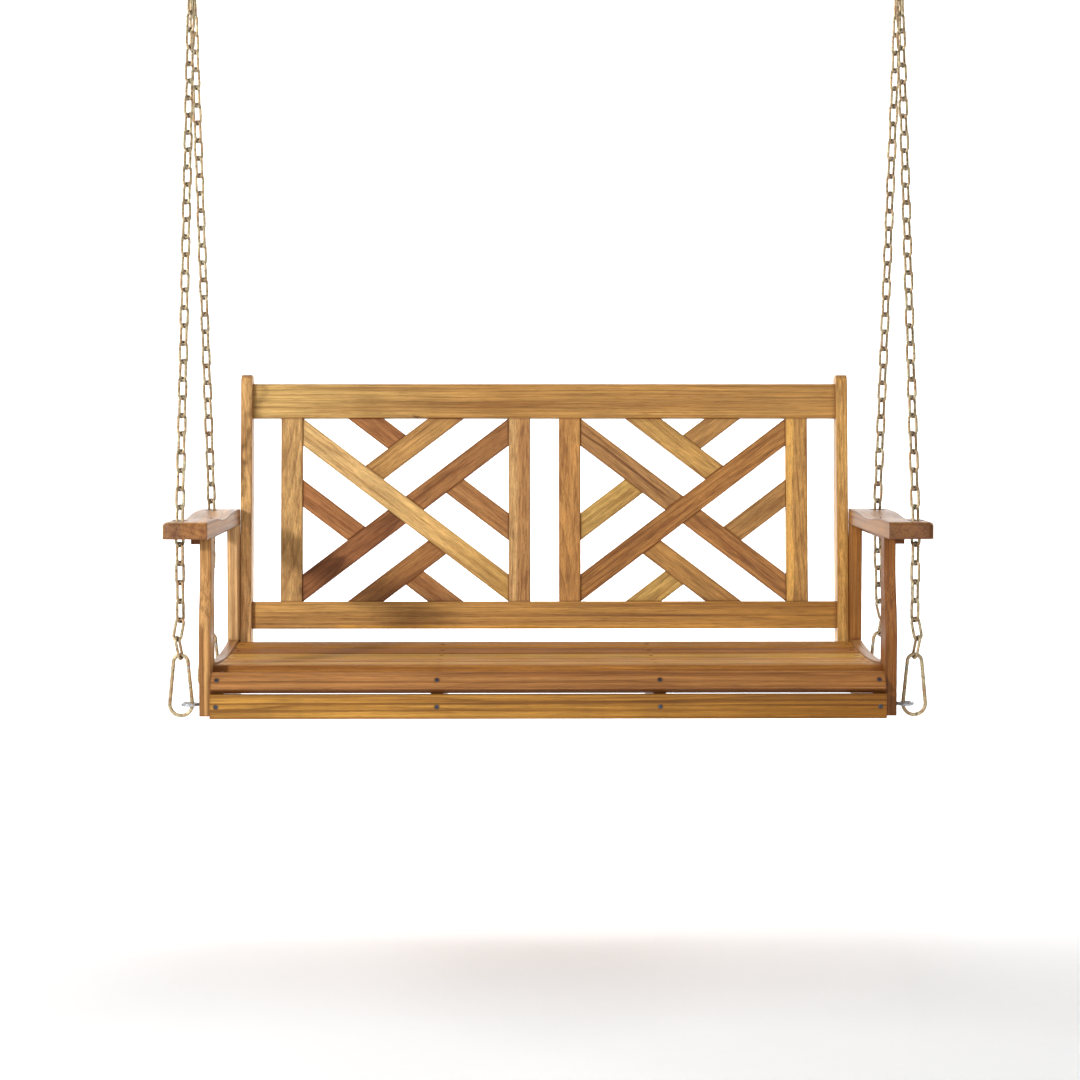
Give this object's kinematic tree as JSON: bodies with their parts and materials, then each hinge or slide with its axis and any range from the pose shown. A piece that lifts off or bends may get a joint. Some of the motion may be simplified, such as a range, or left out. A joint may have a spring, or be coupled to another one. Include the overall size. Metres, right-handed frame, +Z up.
{
  "type": "porch swing seat",
  "caption": "Slatted wooden porch swing bench with a lattice back and scooped armrests, hung from two ceiling screw hooks on chains with spring snap hooks.",
  "frame": {"origin": "on the ceiling plane, midway between the two ceiling hooks", "axes": "+X to the swing's own left end as seen from the front, i.e. to the right of a viewer facing it; the seat faces -Y; +Z up"},
  "size_m": [1.276, 0.5692, 1.409],
  "materials": {
    "seat_wood": "satin oil",
    "frame_wood": "satin oil",
    "lattice_wood": "satin oil",
    "yellow_zinc": "yellow zinc plate",
    "bright_zinc": "bright zinc plate",
    "dark_steel": "satin"
  },
  "bodies": {
    "ceiling_hooks": {"ceiling_hooks": "bright_zinc"},
    "swing": {"arm_cleats": "frame_wood", "arm_screws": "dark_steel", "armrest_left": "frame_wood", "armrest_right": "frame_wood", "back_lower_rail": "frame_wood", "back_post_left": "frame_wood", "back_post_right": "frame_wood", "back_stile_left_inner": "frame_wood", "back_stile_left_outer": "frame_wood", "back_stile_right_inner": "frame_wood", "back_stile_right_outer": "frame_wood", "back_top_rail": "frame_wood", "chain_front_left": "yellow_zinc", "chain_front_right": "yellow_zinc", "chain_rear_left": "yellow_zinc", "chain_rear_right": "yellow_zinc", "corner_blocks": "frame_wood", "eye_bolt_nuts": "bright_zinc", "eye_bolt_washers": "bright_zinc", "eye_bolts": "bright_zinc", "frame_bolts": "dark_steel", "front_arm_post_left": "frame_wood", "front_arm_post_right": "frame_wood", "gate_rivets": "bright_zinc", "hanging_rings": "yellow_zinc", "lattice_chevrons_left": "lattice_wood", "lattice_chevrons_right": "lattice_wood", "lattice_cross_left": "lattice_wood", "lattice_cross_right": "lattice_wood", "lattice_diagonal_left": "lattice_wood", "lattice_diagonal_right": "lattice_wood", "lattice_spurs_left": "lattice_wood", "lattice_spurs_right": "lattice_wood", "rear_arm_post_left": "frame_wood", "rear_arm_post_right": "frame_wood", "seat_apron": "seat_wood", "seat_cross_rail": "frame_wood", "seat_end_rail_left": "frame_wood", "seat_end_rail_right": "frame_wood", "seat_mid_rail_left": "frame_wood", "seat_mid_rail_right": "frame_wood", "seat_nose_slat": "seat_wood", "seat_slat_1": "seat_wood", "seat_slat_2": "seat_wood", "seat_slat_3": "seat_wood", "seat_slat_4": "seat_wood", "seat_slat_5": "seat_wood", "seat_slat_6": "seat_wood", "side_board_left": "frame_wood", "side_board_right": "frame_wood", "slat_screws": "dark_steel", "snap_hook_front_left": "yellow_zinc", "snap_hook_front_right": "yellow_zinc", "snap_hook_rear_left": "yellow_zinc", "snap_hook_rear_right": "yellow_zinc"},
    "gate_front_left": {"gate_front_left": "yellow_zinc"},
    "gate_front_right": {"gate_front_right": "yellow_zinc"},
    "gate_rear_left": {"gate_rear_left": "yellow_zinc"},
    "gate_rear_right": {"gate_rear_right": "yellow_zinc"}
  },
  "joints": [
    {"name": "swing", "type": "hinge", "parent": "ceiling_hooks", "child": "swing", "pos_m": [0, 0, -0.046], "axis": [1, 0, 0], "range_deg": [-22, 22]},
    {"name": "gate_front_right", "type": "hinge", "parent": "swing", "child": "gate_front_right", "pos_m": [0.60062, -0.2699, -1.25697], "axis": [0, -1, 0], "range_deg": [0, 30], "stiffness_Nm_per_rad": 0.06, "springref_deg": -17.19},
    {"name": "gate_front_left", "type": "hinge", "parent": "swing", "child": "gate_front_left", "pos_m": [-0.60062, -0.2699, -1.25697], "axis": [0, 1, 0], "range_deg": [0, 30], "stiffness_Nm_per_rad": 0.06, "springref_deg": -17.19},
    {"name": "gate_rear_right", "type": "hinge", "parent": "swing", "child": "gate_rear_right", "pos_m": [0.60062, 0.1171, -1.25697], "axis": [0, -1, 0], "range_deg": [0, 30], "stiffness_Nm_per_rad": 0.06, "springref_deg": -17.19},
    {"name": "gate_rear_left", "type": "hinge", "parent": "swing", "child": "gate_rear_left", "pos_m": [-0.60062, 0.1171, -1.25697], "axis": [0, 1, 0], "range_deg": [0, 30], "stiffness_Nm_per_rad": 0.06, "springref_deg": -17.19}
  ]
}
